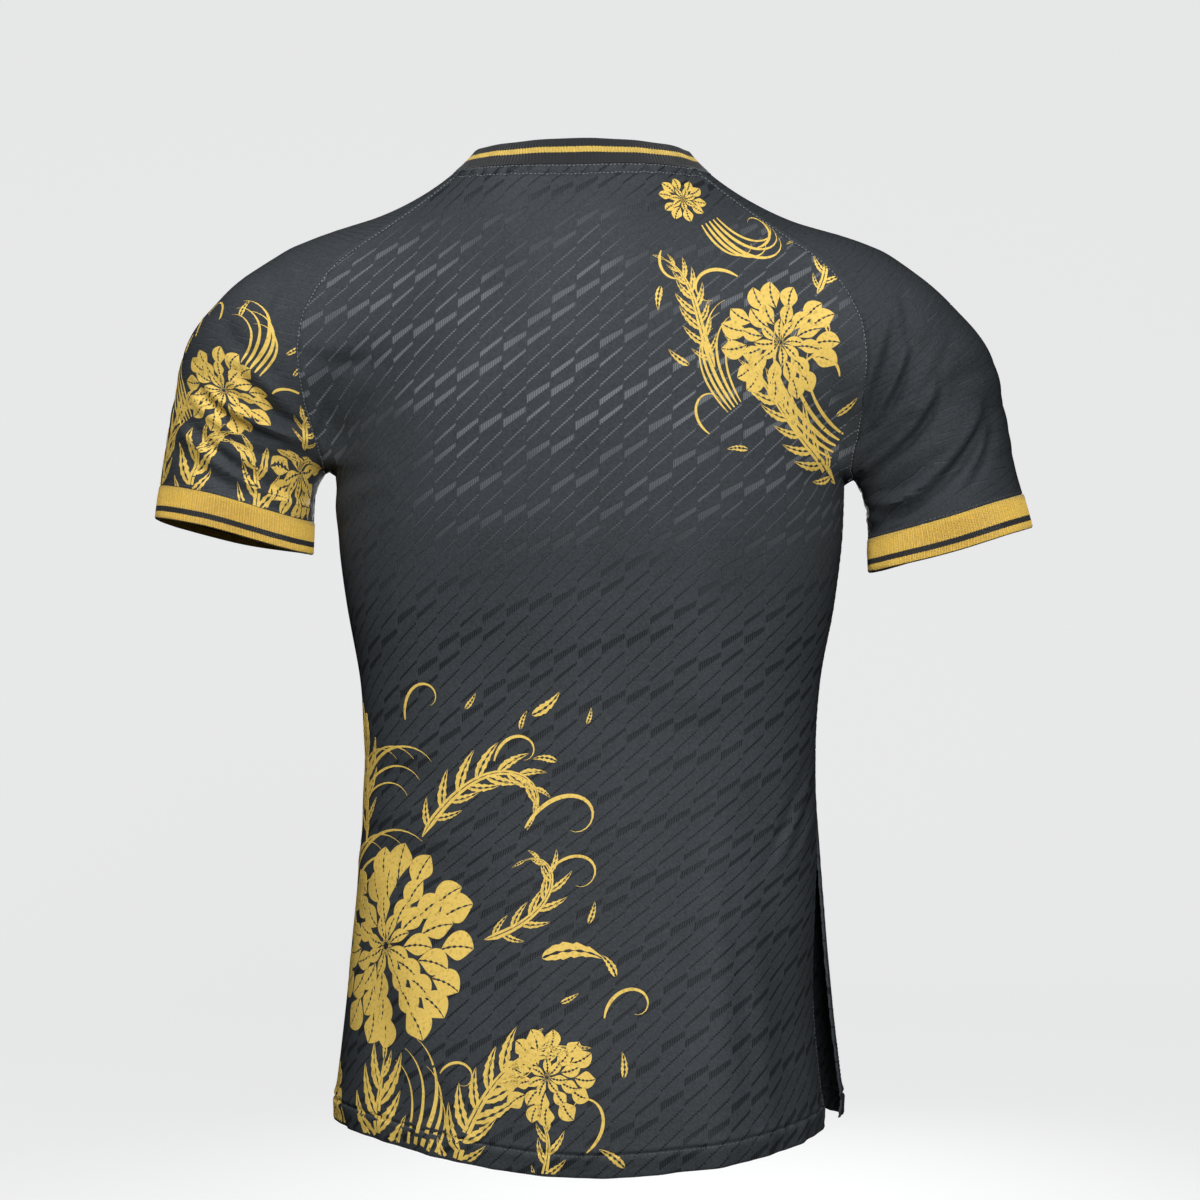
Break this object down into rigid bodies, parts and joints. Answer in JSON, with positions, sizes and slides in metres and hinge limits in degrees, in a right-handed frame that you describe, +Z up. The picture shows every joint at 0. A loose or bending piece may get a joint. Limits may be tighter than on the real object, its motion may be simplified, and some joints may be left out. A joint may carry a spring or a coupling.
{
  "type": "football jersey",
  "caption": "Short-sleeved raglan football jersey, filled out as worn with no wearer, with a ribbed neckband and cuffs, side vents and a dropped back hem.",
  "frame": {"origin": "inside the neck opening, level with the top of the shoulders, where the wearer's neck and shoulders hold the jersey up", "axes": "+Z up, +Y the way the wearer faces, so the back panel faces -Y, and +X towards the wearer's right sleeve"},
  "size_m": [0.6298, 0.2396, 0.7152],
  "materials": {
    "jacquard_knit": "matt charcoal polyester knit with slanting dashes in the weave and a gold print",
    "black_rib": "black rib knit with a gold stripe",
    "gold_rib": "gold rib knit with a black stripe"
  },
  "bodies": {
    "root": {"back": "jacquard_knit", "front": "jacquard_knit", "sleeve_left": "jacquard_knit", "sleeve_right": "jacquard_knit", "neckband": "black_rib", "cuff_left": "gold_rib", "cuff_right": "gold_rib"}
  },
  "joints": []
}
